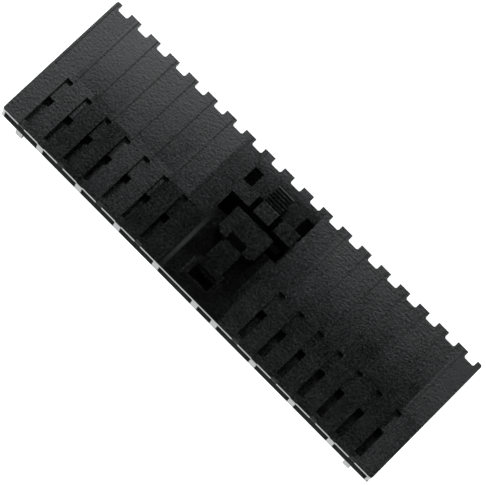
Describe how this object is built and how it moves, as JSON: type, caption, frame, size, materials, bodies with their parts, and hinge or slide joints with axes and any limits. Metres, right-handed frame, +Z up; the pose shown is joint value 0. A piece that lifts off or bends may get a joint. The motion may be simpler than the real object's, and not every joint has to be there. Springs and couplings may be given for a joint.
{
  "type": "crimp connector housing",
  "caption": "Slim single-row housing for crimped wire terminals, with pin openings along the mating edge, toothed wire entries and a moulded latch with a ribbed thumb tab on its upper face.",
  "frame": {"origin": "middle of the underside, at half the overall length and depth", "axes": "+X along the row of circuits, -Y out of the mating face, +Y the way the wires leave, +Z up, on the latch side"},
  "size_m": [0.0482, 0.0152, 0.0056],
  "materials": {
    "black_plastic": "fine matte moulded texture, black"
  },
  "bodies": {
    "root": {"housing": "black_plastic"}
  },
  "joints": []
}
